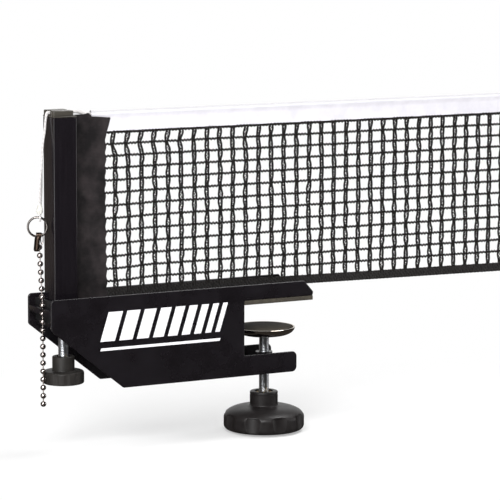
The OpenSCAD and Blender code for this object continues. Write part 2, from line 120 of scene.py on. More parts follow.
def mesh_piece(name, points_mm, edges, faces):
    """A new piece from points in mm and the edges or faces between them."""
    mesh = bpy.data.meshes.new(name)
    mesh.from_pydata([Vector(p) * MM for p in points_mm], edges, faces)
    return object_of(name, mesh)


def shift(piece, offset_mm):
    """Moves a piece's mesh, so that its origin stays the frame's."""
    piece.data.transform(Matrix.Translation(Vector(offset_mm) * MM))


def copy_of(source, name, offset_mm=(0, 0, 0)):
    """A copy of an object with a mesh of its own."""
    piece = object_of(name, source.data.copy())
    shift(piece, offset_mm)
    return piece


def joined(*pieces):
    """Joins pieces into the last one."""
    only(*pieces)
    bpy.ops.object.join()
    return pieces[-1]


def place(piece):
    """Moves the object's place, turn and scale into its mesh, so that its origin is the frame's."""
    only(piece)
    bpy.ops.object.transform_apply(location=True, rotation=True, scale=True)


# %% Finishing
def smooth(piece, angle=40):
    """Shades smoothly over all edges that bend less than the angle."""
    only(piece)
    bpy.ops.object.shade_smooth_by_angle(angle=math.radians(angle))


def finished(piece, body, material, replaces):
    """Gives a piece its finish, its body and the nodes that it stands for."""
    piece.data.materials.clear()
    piece.data.materials.append(material)
    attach(piece, body)
    if replaces:
        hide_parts(*replaces)
    size = piece.dimensions / MM
    print(f"{piece.name}: {size.x:.1f} x {size.y:.1f} x {size.z:.1f} mm, {len(piece.data.polygons)} faces")


# %% [markdown]
# ## Camera
# A long lens far away keeps the plates' edges nearly parallel. The camera stands to the left of the
# net's plane, turned 28.7 degrees to the right and tilted 7.9 degrees down, and leans a hair sideways.

# %% Camera
SENSOR_MM, VIEW_PX, FOCAL_PX = 36, 500, 2842.65
bpy.ops.object.camera_add(
    location=(-1.05497, -1.90556, 0.33984),
    rotation=(math.radians(82.1316), math.radians(-0.1242), math.radians(-28.6635)),
)
camera = bpy.context.object
camera.name = "Camera"
camera.data.sensor_width = SENSOR_MM
camera.data.lens = FOCAL_PX / VIEW_PX * SENSOR_MM
camera.data.clip_end = 60
scene.camera = camera
print("lens in mm:", round(camera.data.lens, 1))

# %% [markdown]
# ## Nodes and colours
# Materials are node trees. One function adds a node with its settings and its links, so that each
# material below reads as a short list. Colours are written as sRGB hex values, as in a paint program,
# and turned to the linear values that the shader works with.

# %% Node and colour helpers
NOISE, WAVE = "ShaderNodeTexNoise", "ShaderNodeTexWave"
RAMP, RANGE, MIX = "ShaderNodeValToRGB", "ShaderNodeMapRange", "ShaderNodeMix"
MATH, VECTORS, BUMP = "ShaderNodeMath", "ShaderNodeVectorMath", "ShaderNodeBump"
FACTOR, FIRST, SECOND, MIXED = 0, 6, 7, 2  # a colour mix's inputs, and its output


def colour(hexadecimal):
    """An sRGB hex colour as Blender's linear RGBA."""
    parts = [int(hexadecimal[i : i + 2], 16) / 255 for i in (1, 3, 5)]
    return (*(p / 12.92 if p <= 0.04045 else ((p + 0.055) / 1.055) ** 2.4 for p in parts), 1)


def connect(node, inputs):
    """Gives a node's inputs their values, or links them to outputs or to other nodes' first outputs."""
    for name, value in inputs.items():
        if isinstance(value, bpy.types.Node):
            value = value.outputs[0]
        if isinstance(value, bpy.types.NodeSocket):
            node.id_data.links.new(value, node.inputs[name])
        else:
            node.inputs[name].default_value = value


def add(tree, kind, inputs=None, stops=(), **settings):
    """Adds a node with its settings, its inputs and a colour ramp's (position, hex colour) stops."""
    node = tree.nodes.new(kind)
    for name, value in settings.items():
        setattr(node, name, value)
    for i, (position, tone) in enumerate(stops):
        if i > 1:
            node.color_ramp.elements.new(1.0)
        node.color_ramp.elements[i].position = position
        node.color_ramp.elements[i].color = colour(tone)
    connect(node, inputs or {})
    return node


def surface(name):
    """A new material with its tree, its plain shader and the coordinates that patterns are measured on."""
    material = bpy.data.materials.new(name)
    material.use_nodes = True
    tree = material.node_tree
    return material, tree, tree.nodes["Principled BSDF"], add(tree, "ShaderNodeTexCoord").outputs["Object"]


print("white as linear values:", colour("#ffffff"))

# %% [markdown]
# ## Metals, paints and plastics
# The plates, the web and the post are steel with a baked powder coat: black, half gloss, with the fine
# orange peel that such coats dry with. The knobs and the cap are injection moulded, which gives a dull
# spark-eroded grain. The screws are zinc plated, the dish is bright nickel-chrome, and the ring, the
# connector and the beads are nickel or gunmetal plated. All of them are a colour and a gloss that vary a
# little in soft spots, and a relief, so one function makes them.


# %% A solid finish
def solid(name, stops, patterns, depth_mm, gloss, sockets, along=None):
    """patterns are one or two noises as (size in mm, detail), stretched along a direction. The colour stops
    and the gloss, if it has two values, follow the first noise, and the relief follows the last."""
    material, tree, shader, where = surface(name)
    if along:
        where = add(tree, "ShaderNodeMapping", {"Vector": where, "Scale": along})
    noises = [
        add(tree, NOISE, {"Vector": where, "Scale": 1 / (size_mm * MM), "Detail": detail})
        for size_mm, detail in patterns
    ]
    if isinstance(gloss, tuple):
        gloss = add(tree, RANGE, {
            "Value": noises[0], "From Min": 0.3, "From Max": 0.7, "To Min": gloss[0], "To Max": gloss[1],
        })
    connect(shader, {
        "Base Color": add(tree, RAMP, {"Fac": noises[0]}, stops),
        "Roughness": gloss,
        "Normal": add(tree, BUMP, {"Height": noises[-1], "Distance": depth_mm * MM}),
        **sockets,
    })
    return material


# %% Powder coat
# A deep black with a soft gloss and orange peel about 1.2 mm wide. On the drawn tube of the post the coat
# is glossier, with faint draw lines along the post in place of the peel.
COAT = solid(
    "Powder-coated steel, black", ((0.3, "#110e11"), (0.7, "#171418")), ((14, 3), (1.2, 2)), 0.004,
    (0.24, 0.32), {"IOR": 1.5, "Specular IOR Level": 0.4})
TUBE_COAT = solid(
    "Powder-coated steel tube, black", ((0.3, "#120f13"), (0.75, "#19161a")), ((0.9, 3),), 0.002,
    (0.13, 0.19), {"Specular IOR Level": 0.58}, (1, 1, 0.03))
print("paints:", COAT.name, "|", TUBE_COAT.name)


# %% Moulded plastics
def moulded(name, dark, light, gloss, grain_mm, depth_mm, shine=0.3):
    """Injection-moulded plastic with a spark-eroded grain."""
    return solid(name, ((0.3, dark), (0.7, light)), ((9, 3), (grain_mm, 2)), depth_mm,
                 (gloss - 0.04, gloss + 0.05), {"IOR": 1.49, "Specular IOR Level": shine})


KNOB_PLASTIC = moulded("ABS, moulded, black", "#191616", "#221f1f", 0.42, 0.5, 0.02, 0.34)
GREY_PLASTIC = moulded("ABS, moulded, dark grey", "#22201e", "#2a2725", 0.5, 0.5, 0.02)
CAP_PLASTIC = moulded("Polyamide, glass-filled, olive grey", "#3c3934", "#47443e", 0.24, 0.7, 0.012, 0.5)
GUIDE_PLASTIC = moulded("Polyoxymethylene, moulded, black", "#1b1b1c", "#232324", 0.4, 0.6, 0.015)
print("plastics: 4")


# %% Bare and plated metals
def plated(name, dark, light, gloss, marks_mm, depth_mm, along=(1, 1, 1)):
    """Metal with fine tool or draw marks that stretch along one direction."""
    return solid(name, ((0.25, dark), (0.75, light)), ((marks_mm, 3),), depth_mm,
                 (gloss * 0.8, gloss * 1.25), {"Metallic": 1.0}, along)


ZINC = plated("Steel, rolled thread, zinc plated", "#c4c7cd", "#e0e3e6", 0.34, 0.8, 0.003, (1, 1, 3))
CHROME = plated("Steel, pressed, nickel-chrome plated", "#bdb3a7", "#d2c9be", 0.08, 3.0, 0.004)
SPRING = plated("Spring steel, nickel plated", "#79736f", "#96908d", 0.1, 0.5, 0.004)
NICKEL = plated("Brass, nickel plated", "#c9bfbb", "#ded5d1", 0.12, 0.5, 0.004)
GUNMETAL = plated("Brass, gunmetal plated", "#352c26", "#4c4038", 0.32, 0.6, 0.006)
BRASS = plated("Brass, turned", "#a98848", "#c4a263", 0.3, 0.3, 0.01, (1, 1, 6))
print("metals: 6")

# %% Rubber, ink and shrink tube
# Moulded rubber is brown grey and dull, with a fine grain. Screen-printed ink is opaque white and slightly
# rough from the mesh that it was pressed through. PVC shrunk over the cord's end is milky, with a soft
# gloss.
RUBBER = solid(
    "Rubber, moulded, brown grey", ((0.3, "#38342d"), (0.7, "#49443a")), ((5, 4), (0.6, 3)), 0.06,
    0.82, {"IOR": 1.52, "Specular IOR Level": 0.3})
INK = solid(
    "Screen ink, white", ((0.3, "#e9e8ec"), (0.7, "#f6f5f8")), ((3, 4), (0.4, 2)), 0.008, 0.5, {})
SHRINK = solid(
    "PVC, shrunk, milky", ((0.35, "#b4b2aa"), (0.6, "#dddcd6")), ((2.5, 2),), 0.05, 0.4, {"IOR": 1.53})
print("others:", RUBBER.name, "|", INK.name, "|", SHRINK.name)

# %% [markdown]
# ## Cloth and yarn
# The sleeves are black nylon cloth in plain weave, the band is white cotton tape, and the netting is spun
# polyester yarn. Real threads are about 0.3 mm apart. That is finer than a pixel, so the weave is drawn
# with two crossing waves a little coarser than real, and the yarn with one slanted wave and fibres.


# %% Woven cloth
def wave_scale(thread_mm):
    """A Wave texture repeats every tenth of pi, in metres, at scale 1; here that is every second thread."""
    return math.pi / 20 / (thread_mm * MM)


def cloth(name, dark, light, thread_mm, depth_mm, rough, sheen, painted_crest_shade=None):
    """Plain-woven cloth. The last argument, if given, paints shade on the top of a fold: a grey that darkens
    the fold's top where the overhead lamp lights it too brightly, and the height in mm where that painted
    shade starts."""
    material, tree, shader, where = surface(name)
    across, up = (
        add(tree, WAVE, {"Vector": where, "Scale": wave_scale(thread_mm), "Distortion": 0.3},
            wave_type="BANDS", bands_direction=direction).outputs["Fac"]
        for direction in "XZ"
    )
    threads = add(tree, MATH, {0: across, 1: up}, operation="MULTIPLY")
    worn = add(tree, NOISE, {"Vector": where, "Scale": 1 / (16 * MM), "Detail": 4, "Roughness": 0.6})
    tone = add(tree, RAMP, {"Fac": worn}, ((0.36, dark), (0.64, light)))
    gaps = add(tree, RANGE, {"Value": threads, "To Min": 0.35, "To Max": 0.0})
    tone = add(tree, MIX, {FACTOR: gaps, FIRST: tone, SECOND: colour(dark)}, data_type="RGBA").outputs[MIXED]
    # Painted shade: above the given height the tone is mixed towards a grey, so that the top of the fold
    # looks less lit.
    if painted_crest_shade:
        height = add(tree, "ShaderNodeSeparateXYZ", {0: where}).outputs["Z"]
        dull = add(tree, RANGE, {
            "Value": height, "From Min": painted_crest_shade[1] * MM, "From Max": (painted_crest_shade[1] + 0.5) * MM,
        })
        tone = add(tree, MIX, {
            FACTOR: dull, FIRST: tone, SECOND: colour(painted_crest_shade[0]),
        }, data_type="RGBA").outputs[MIXED]
    connect(shader, {
        "Base Color": tone, "Roughness": rough, "Sheen Weight": sheen, "Sheen Roughness": 0.5,
        "Specular IOR Level": 0.2, "Normal": add(tree, BUMP, {"Height": threads, "Distance": depth_mm * MM}),
    })
    return material


NYLON = cloth("Nylon cloth, plain weave, black", "#131012", "#352f30", 0.55, 0.06, 0.7, 0.06)
# The tape's fold gets painted shade: a grey over everything above 151.1 mm.
TAPE = cloth("Cotton tape, woven, white", "#dcdae1", "#ebe9ef", 0.5, 0.03, 0.75, 0.0, ("#bebdc0", 151.1))
print("cloths:", NYLON.name, "|", TAPE.name)


# %% Yarn and cord
def yarn(name, dark, light, twist_mm, sheen, depth_mm=0.12):
    """Spun or braided yarn: slanted strands, and loose fibres on them."""
    material, tree, shader, where = surface(name)
    strands = add(tree, WAVE, {
        "Vector": where, "Scale": wave_scale(twist_mm), "Distortion": 1.5, "Detail": 1.0,
        "Detail Scale": 1.5,
    }, wave_type="BANDS", bands_direction="DIAGONAL").outputs["Fac"]
    fibres = add(tree, NOISE, {"Vector": where, "Scale": 1 / (0.5 * MM), "Detail": 4, "Roughness": 0.7})
    height = add(tree, MATH, {0: strands, 1: fibres}, operation="ADD")
    depth = add(tree, RANGE, {"Value": height, "From Min": 0.3, "From Max": 1.6})
    connect(shader, {
        "Base Color": add(tree, RAMP, {"Fac": depth}, ((0.1, dark), (0.9, light))),
        "Roughness": 0.85, "Sheen Weight": sheen, "Sheen Roughness": 0.6, "Specular IOR Level": 0.15,
        "Normal": add(tree, BUMP, {"Height": height, "Distance": depth_mm * MM}),
    })
    return material


NET_YARN = yarn("Polyester yarn, spun, black brown", "#0b0908", "#1c1816", 0.9, 0.06)
SELVEDGE = yarn("Polyester yarn, looped, black", "#0e0c0c", "#221e1d", 0.8, 0.1)
WHITE_CORD = yarn("Polyester cord, braided, white", "#c3c0bf", "#d3d0cf", 0.9, 0.0, 0.02)
print("yarns: 3")

# %% [markdown]
# ## Light
# A product table: a sheet of white paper, a soft key lamp above the camera, one overhead that draws the
# plates' upper edges, a tall strip lamp on the left that puts a bright streak on round metal, and a weak
# one on the right. What metal mirrors is a dark room with a white screen straight behind the object, a
# warm wall beside it and bright paper far out to the front left, so that black paint stays black and
# bright metal gets dark edges.

# %% World, floor and lamps
FLOOR_Z = -0.103
WHITE = colour("#ffffff")
SCREEN_WAY, WALL_WAY, BRIGHT_PAPER_WAY = (0.475, 0.868, 0.15), (-0.48, 0.87, -0.14), (-0.8, -0.6, 0)


def background_seen(tree):
    """The light path, and 1 for rays that show the background: the camera's and those through glass."""
    path = add(tree, "ShaderNodeLightPath")
    seen = add(tree, MATH, {
        0: path.outputs["Is Camera Ray"], 1: path.outputs["Is Transmission Ray"],
    }, operation="MAXIMUM")
    return path, seen


def studio_world():
    """White for the camera, an even dim light for dull surfaces, and a room for shiny ones to mirror."""
    world = bpy.data.worlds.new("Studio")
    scene.world = world
    world.use_nodes = True
    tree = world.node_tree
    tree.nodes.clear()
    where = add(tree, "ShaderNodeTexCoord").outputs["Generated"]
    behind, beside = (
        add(tree, VECTORS, {0: where, 1: way}, operation="DOT_PRODUCT").outputs["Value"]
        for way in (SCREEN_WAY, WALL_WAY)
    )
    screen = add(tree, RANGE, {"Value": behind, "From Min": -1})
    room = add(tree, RAMP, {"Fac": screen}, ((0.0, "#2c2b2b"), (0.86, "#3c3937"), (0.985, "#ffffff")))
    wall = add(tree, RANGE, {"Value": beside, "From Min": 0.85, "From Max": 0.96})
    room = add(tree, MIX, {FACTOR: wall, FIRST: room, SECOND: colour("#6e655c")}, data_type="RGBA")
    path, seen = background_seen(tree)
    mirrored, ambient, white = (
        add(tree, "ShaderNodeBackground", {"Color": tone, "Strength": strength})
        for tone, strength in ((room.outputs[MIXED], 1.0), (WHITE, 0.32), (WHITE, 1.0))
    )
    lit = add(tree, "ShaderNodeMixShader", {0: path.outputs["Is Glossy Ray"], 1: ambient, 2: mirrored})
    all_rays = add(tree, "ShaderNodeMixShader", {0: seen, 1: lit, 2: white})
    add(tree, "ShaderNodeOutputWorld", {"Surface": all_rays})


def soft_lamp(name, place_m, width_m, height_m, watts):
    """A rectangular lamp that looks at the middle of the object."""
    bpy.ops.object.light_add(type="AREA", location=place_m)
    lamp = bpy.context.object
    lamp.name = name
    lamp.data.shape = "RECTANGLE"
    lamp.data.size = width_m
    lamp.data.size_y = height_m
    lamp.data.energy = watts
    aim = Vector((0.0, 0.0, 0.04)) - Vector(place_m)
    lamp.rotation_euler = aim.to_track_quat("-Z", "Y").to_euler()


def floor_finish():
    """White paper: plain under the object, so that it takes the shadow, and as white as the backdrop
    further out, where the lamps fade. Shiny surfaces see it dark nearby and bright far to the front left."""
    material, tree, shader, where = surface("Paper, white")
    connect(shader, {"Base Color": colour("#f4f4f4"), "Roughness": 0.9, "Specular IOR Level": 0.0})
    flat = add(tree, "ShaderNodeMapping", {"Vector": where, "Scale": (1, 1, 0)})
    reach = add(tree, VECTORS, {0: flat, 1: (0.03, 0.0, 0)}, operation="DISTANCE").outputs["Value"]
    far = add(tree, RANGE, {"Value": reach, "From Min": 0.14, "From Max": 0.34, "To Min": 0.4})
    path, seen = background_seen(tree)
    towards = add(tree, VECTORS, {0: where, 1: BRIGHT_PAPER_WAY}, operation="DOT_PRODUCT").outputs["Value"]
    bright = add(tree, RANGE, {"Value": towards, "From Min": 0.25, "From Max": 0.36})
    tone = add(tree, RAMP, {"Fac": bright}, ((0.0, "#3a3735"), (1.0, "#f2efec")))
    dim, glow = (
        add(tree, "ShaderNodeEmission", {"Color": light, "Strength": 1.0}) for light in (tone, WHITE))
    share = add(tree, MATH, {0: far, 1: seen}, operation="MULTIPLY")
    paper = add(tree, "ShaderNodeMixShader", {0: path.outputs["Is Glossy Ray"], 1: shader, 2: dim})
    connect(tree.nodes["Material Output"], {
        "Surface": add(tree, "ShaderNodeMixShader", {0: share, 1: paper, 2: glow}),
    })
    return material


studio_world()
soft_lamp("Front lamp", (-1.05, -1.3, 1.15), 0.7, 0.7, 26)
soft_lamp("Top lamp", (0.62, -0.1, 1.25), 0.7, 0.7, 14)
soft_lamp("Strip lamp", (-1.45, -0.86, 0.4), 0.7, 2.2, 22)
soft_lamp("Right lamp", (1.55, -0.6, 0.15), 0.8, 0.8, 5)

bpy.ops.mesh.primitive_plane_add(size=1, location=(0.05, 0.12, FLOOR_Z))
floor = bpy.context.object
floor.name = "Floor"
floor.scale = (1.6, 0.9, 1)
place(floor)
floor.data.materials.append(floor_finish())
print("lamps: 4, floor at", FLOOR_Z / MM, "mm")

# %% [markdown]
# ## Folded and cut steel
# The side plates, the web, the bridges and the catch already have the right outline in CAD, but their
# edges are perfectly sharp. A real coated edge is rounded and catches a thin line of light. So each is
# copied, its loose triangles are merged into clean faces, and its edges get a small bevel. The small
# parts inside are treated alike.


# %% Softened copies of CAD nodes
def softened(node, body, material, edge_mm, segments):
    """A copy of a CAD node with merged faces and rounded edges, named like its node."""
    piece = copy_of(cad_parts[node], node.capitalize().replace("_knob", ""))
    edit(piece)
    bpy.ops.mesh.remove_doubles(threshold=0.002 * MM)
    bpy.ops.mesh.dissolve_limited(angle_limit=math.radians(0.6))
    close()
    modifier(piece, "BEVEL", width=edge_mm * MM, segments=segments, limit_method="ANGLE",
             angle_limit=math.radians(32), miter_outer="MITER_ARC", use_clamp_overlap=True)
    smooth(piece, 35)
    finished(piece, body, material, [node])


for node, body, material, edge_mm, segments, slot in (
    ("front_plate", "bracket", COAT, 0.9, 4, "black_paint"),
    ("rear_plate", "bracket", COAT, 0.9, 4, "black_paint"),
    ("jaw_web", "bracket", COAT, 0.4, 2, "black_paint"),
    ("clamp_bridge", "bracket", COAT, 0.3, 2, "black_paint"),
    ("height_bridge", "bracket", COAT, 0.3, 2, "black_paint"),
    ("chain_catch", "bracket", COAT, 0.2, 2, "black_paint"),
    ("post_guide", "bracket", GUIDE_PLASTIC, 0.4, 2, "black_plastic"),
    ("clamp_nut", "bracket", COAT, 0.3, 2, "black_paint"),
    ("height_nut", "bracket", COAT, 0.3, 2, "black_paint"),
    ("clamp_clip", "clamp_spindle", SPRING, 0.15, 1, "zinc_steel"),
    ("height_clip", "height_spindle", SPRING, 0.15, 1, "zinc_steel"),
    ("clamp_knob_insert", "clamp_spindle", BRASS, 0.2, 1, "brass"),
    ("height_knob_insert", "height_spindle", BRASS, 0.2, 1, "brass"),
    ("disc_pad", "clamp_disc", RUBBER, 0.4, 2, "pad_rubber"),
    ("sleeve_rod", "net_post", ZINC, 0.3, 1, "zinc_steel"),
    ("post_foot", "net_post", GUIDE_PLASTIC, 0.3, 1, "black_plastic"),
):
    softened(node, body, material, edge_mm, segments)

# %% [markdown]
# ## Cord round the post
# The net's white cord lies inside the band, leaves it beside the post, crosses the cap in its groove
# and runs down the post's outside to an eye. Inside the band it is round. Over the drop it is a flat
# braid that starts edge-on and turns its width to the front on the way down. A curve with a bevel can't
# change from round to flat, so the section is swept by hand: a ring of points for each place on the
# route, joined to the next one.


# %% Sweep a section along a route
def ease(t):
    """A soft step from 0 to 1."""
    t = min(1.0, max(0.0, t))
    return t * t * (3 - 2 * t)


def along(points):
    """Distances in mm from the route's start to each of its points."""
    distances = [0.0]
    for first, second in zip(points, points[1:]):
        distances.append(distances[-1] + (second - first).length)
    return distances


def smooth_route(corners, spacing_mm):
    """A smooth route through the corners, with a point about every spacing_mm."""
    corners = [Vector(c) for c in corners]
    points = []
    for i in range(len(corners) - 1):
        a, b = corners[i], corners[i + 1]
        before = corners[i - 1] if i else a + (a - b)
        after = corners[i + 2] if i + 2 < len(corners) else b + (b - a)
        count = max(1, round((b - a).length / spacing_mm))
        start, end = (b - before) * 0.5, (after - a) * 0.5
        reach = (b - a).length
        start, end = (v * min(1, reach / max(v.length, 1e-6)) for v in (start, end))
        for k in range(count):
            t = k / count
            points.append(
                a * (2 * t**3 - 3 * t**2 + 1) + start * (t**3 - 2 * t**2 + t)
                + b * (3 * t**2 - 2 * t**3) + end * (t**3 - t**2)
            )
    return points + [corners[-1]]


def swept_shape(points, size, sides, turn=None, closed=False, first_side=(0, 1, 0)):
    """Points and faces of a section swept along a route, all in mm. size is the section's half width and
    half thickness, or gives them at a distance along the route, and turn gives its angle there."""
    n = len(points)
    reach = along(points)
    side = Vector(first_side)
    section_points, faces = [], []
    for i, point in enumerate(points):
        ahead = points[(i + 1) % n] if closed or i + 1 < n else point
        behind = points[i - 1] if closed or i else point
        direction = (ahead - behind).normalized()
        side = (side - direction * side.dot(direction)).normalized()
        other = direction.cross(side)
        wide, thick = size(reach[i]) if callable(size) else size
        angle = turn(reach[i]) if turn else 0.0
        for k in range(sides):
            a = 2 * math.pi * k / sides
            x, y = wide * math.cos(a), thick * math.sin(a)
            x, y = x * math.cos(angle) - y * math.sin(angle), x * math.sin(angle) + y * math.cos(angle)
            section_points.append(point + side * x + other * y)
    for i in range(n if closed else n - 1):
        for k in range(sides):
            j, m = (k + 1) % sides, (i + 1) % n
            faces.append((i * sides + k, i * sides + j, m * sides + j, m * sides + k))
    if not closed:
        faces += [tuple(range(sides - 1, -1, -1)), tuple((n - 1) * sides + k for k in range(sides))]
    return section_points, faces


def swept_piece(name, shapes):
    """One piece made of several swept shapes."""
    points, faces = [], []
    for shape_points, shape_faces in shapes:
        faces += [tuple(len(points) + i for i in face) for face in shape_faces]
        points += shape_points
    piece = mesh_piece(name, points, [], faces)
    face_outward(piece)
    smooth(piece, 60)
    return piece


# %% The cord in the band and over the cap
CORD_Z, CAP_CORD_Z, CORD_R = 150.4, 152.8, 1.3
net_cord_route = smooth_route([
    (250, 0, CORD_Z), (120, 0, CORD_Z), (0, 0, CORD_Z), (-100, 0, CORD_Z), (-148, 0, CORD_Z),
    (-152, 0, CORD_Z + 0.5), (-158.5, 0, CAP_CORD_Z - 0.2), (-163.5, 0, CAP_CORD_Z), (-182.5, 0, CAP_CORD_Z),
], 1.2)
net_cord = swept_piece("Net_cord", [swept_shape(net_cord_route, (CORD_R, CORD_R), 12)])
finished(net_cord, "net_post", WHITE_CORD, ["net_cord"])

# %% The cord's end, from the cap down to its eye
RING_TURN = math.radians(25)
RING_CENTRE, RING_R = Vector((-191.4, 0.803, 68.35)), 7.15
EYE_CENTRE = Vector((-189.678, 0, 75.243))
tail_corners = [(-182.6, 152.8), (-183.2, 152.65), (-183.7, 152.0), (-184.0, 150.9), (-184.3, 149.4),
                (-184.8, 144.8), (-185.6, 137.8), (-186.9, 130.8), (-187.8, 119.8), (-188.6, 100.8),
                (-189.68, 85.24), (-189.68, 77.44)]
tail_route = smooth_route([(x, 0, z) for x, z in tail_corners], 0.8)
tail_length = along(tail_route)[-1]


def tail_size(s):
    """Half width and half thickness: nearly round on the cap, a flat braid near the ring."""
    thin = ease(s / 6)
    flat = ease((s - 8) / 40)
    end = ease((tail_length - s) / 8)
    wide = (CORD_R - 0.4 * thin + 0.7 * flat) * (0.75 + 0.25 * end)
    return wide, (CORD_R - 0.4 * thin - 0.25 * flat) * (1.2 - 0.2 * end)


def tail_turn(s):
    """The braid leaves the cap with its width across the post and turns it to the front."""
    return math.radians(82) * ease((s - 25) / (tail_length - 32))


cord_tail = swept_piece("Cord_tail", [swept_shape(tail_route, tail_size, 14, tail_turn)])
cord_tail.data.materials.append(WHITE_CORD)
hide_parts("cord_tail")
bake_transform(cord_tail)

# %% The eye and its shrunk sleeve
EYE_R, EYE_WIRE_R = 2.375, 0.8
ring_across = Vector((math.sin(RING_TURN), math.cos(RING_TURN), 0))
ring_along = Vector((math.cos(RING_TURN), -math.sin(RING_TURN), 0))
eye_points = [
    EYE_CENTRE + EYE_R * (ring_across * math.cos(a) + Vector((0, 0, math.sin(a))))
    for a in (2 * math.pi * k / 32 for k in range(32))
]
cord_eye = swept_piece("Cord_eye", [
    swept_shape(eye_points, (EYE_WIRE_R, EYE_WIRE_R), 12, closed=True, first_side=ring_along)
])
finished(cord_eye, "bracket", WHITE_CORD, ())

shrink_heights = [2.6, 3.2, 4.4, 6.0, 7.6, 9.0, 10.0, 10.4]
shrink_widths = [1.5, 2.3, 2.6, 2.45, 2.1, 1.8, 1.5, 1.0]
shrink_route = [EYE_CENTRE + Vector((-0.25 * (10 - z) / 3, 0, z)) for z in shrink_heights]


def shrink_size(s):
    """Half width and half thickness of the shrunk sleeve, from its foot up."""
    place_on = s / along(shrink_route)[-1] * (len(shrink_widths) - 1)
    i = min(len(shrink_widths) - 2, int(place_on))
    wide = shrink_widths[i] + (shrink_widths[i + 1] - shrink_widths[i]) * (place_on - i)
    return wide, 0.55 * wide + 0.3


shrink = swept_piece("Cord_shrink", [swept_shape(shrink_route, shrink_size, 28, first_side=ring_along)])
finished(shrink, "bracket", SHRINK, ["cord_crimp"])

# %% [markdown]
# ## Turned and threaded parts
# The dish is pressed and the knobs are moulded, but both have a round outline, so they are modelled
# like turned parts: the half section is drawn as a line of points and spun through a full circle. The
# screws' threads are one pitch of profile that the Screw modifier winds up the axis. Their grooves are
# 0.26 mm deep, which is much shallower than on a real 8 mm screw.


# %% Spin a half section
def row_edges(count):
    """The edges that join points in a row."""
    return [(i, i + 1) for i in range(count - 1)]


def turned(name, outline, steps, x_mm=0):
    """Spins a half section of (radius, height) points, in mm, round an upright axis at x_mm."""
    piece = mesh_piece(name, [(r, 0, z) for r, z in outline], row_edges(len(outline)), [])
    edit(piece)
    bpy.ops.mesh.spin(steps=steps, angle=2 * math.pi, center=(0, 0, 0), axis=(0, 0, 1))
    bpy.ops.mesh.select_all(action="SELECT")
    bpy.ops.mesh.remove_doubles(threshold=0.003 * MM)
    close()
    face_outward(piece)
    shift(piece, (x_mm, 0, 0))
    return piece


def arc(centre, radius, first, last, steps, squash=1.0):
    """Points of an arc in the half section, from one angle to the other, in degrees."""
    return [
        (centre[0] + radius * math.cos(a), centre[1] + radius * squash * math.sin(a))
        for a in (math.radians(first + (last - first) * k / steps) for k in range(steps + 1))
    ]


# %% The pressure dish
rim_z, dish_h, flat_r, dish_bore_r = -20.8, 6.4, 14.0, 3.05
dish = turned("Pressure_dish", [
    (dish_bore_r, rim_z - dish_h), (flat_r - 6, rim_z - dish_h),
    *arc((flat_r, rim_z), 10, -90, -8, 14, 0.64),
    (23.97, -21.25), (24.0, -20.95), (23.85, -20.8), (23.4, -20.75), (22.95, -20.85), (22.8, -21.1),
    *arc((flat_r, rim_z), 8.8, -8, -90, 14, 5.2 / 8.8),
    (dish_bore_r, -26.0), (dish_bore_r, rim_z - dish_h),
], 128)
smooth(dish, 30)
finished(dish, "clamp_disc", CHROME, ["pressure_disc"])


# %% Screws with a rolled thread
PITCH, THREAD_R, THREAD_HALF_DEPTH, PROFILE_POINTS, NECK_R = 1.25, 3.8, 0.13, 10, 2.98
HEIGHT_SCREW_X = -171.5


def threaded(name, x, low, top, neck_top):
    """A screw with a thread from low to top, and a plain neck above it."""
    outline = [
        (THREAD_R - THREAD_HALF_DEPTH * math.cos(2 * math.pi * share), 0, PITCH * share)
        for share in (k / PROFILE_POINTS for k in range(PROFILE_POINTS + 1))
    ]
    screw = mesh_piece(name, outline, row_edges(len(outline)), [])
    turns = math.ceil((top - low) / PITCH) + 2
    modifier(screw, "SCREW", angle=2 * math.pi, screw_offset=PITCH * MM, iterations=turns, steps=28,
             render_steps=28, use_merge_vertices=True, merge_threshold=0.002 * MM)
    shift(screw, (0, 0, low - PITCH))
    edit(screw)
    bpy.ops.mesh.remove_doubles(threshold=0.002 * MM)
    bpy.ops.mesh.normals_make_consistent(inside=False)
    for height, facing in ((low, -1), (top, 1)):
        bpy.ops.mesh.select_all(action="SELECT")
        bpy.ops.mesh.bisect(plane_co=(0, 0, height * MM), plane_no=(0, 0, facing), clear_outer=True,
                            use_fill=True)
    close()
    shift(screw, (x, 0, 0))
    neck = turned(name + "_neck", [
        (0, top - 0.4), (NECK_R, top - 0.4), (NECK_R, neck_top - 0.4), (NECK_R - 0.38, neck_top),
        (0, neck_top),
    ], 32, x)
    joined(neck, screw)
    smooth(screw, 50)
    return screw


clamp_screw = threaded("Clamp_screw", 0, -93, -27.3, -23.6)
finished(clamp_screw, "clamp_spindle", ZINC, ["clamp_screw"])
height_screw = threaded("Height_screw", HEIGHT_SCREW_X, -46, -0.1, 12.1)
finished(height_screw, "height_spindle", ZINC, ["height_screw"])


# %% The clamp knob
def scoop(piece, axis_x, count, first_deg, limit, weight):
    """Presses grips into a turned body: near each grip's middle the radius is cut to limit(angle, z)."""
    step = 360 / count
    for vertex in piece.data.vertices:
        x, y, z = vertex.co.x / MM - axis_x, vertex.co.y / MM, vertex.co.z / MM
        radius, strength = math.hypot(x, y), weight(z)
        if radius < 5 or not strength:
            continue
        away = (math.degrees(math.atan2(y, x)) - first_deg + step / 2) % step - step / 2
        bound = limit(math.radians(away), z)
        if bound < radius:
            scale = 1 + (bound / radius - 1) * strength
            vertex.co.x = (axis_x + x * scale) * MM
            vertex.co.y = y * scale * MM


def round_cut(angle, radius, distance):
    """How far out a round cut lets the body reach; the cut's own axis stands at this distance."""
    sideways = distance * math.sin(angle)
    if abs(sideways) >= radius:
        return math.inf
    return distance * math.cos(angle) - math.sqrt(radius**2 - sideways**2)


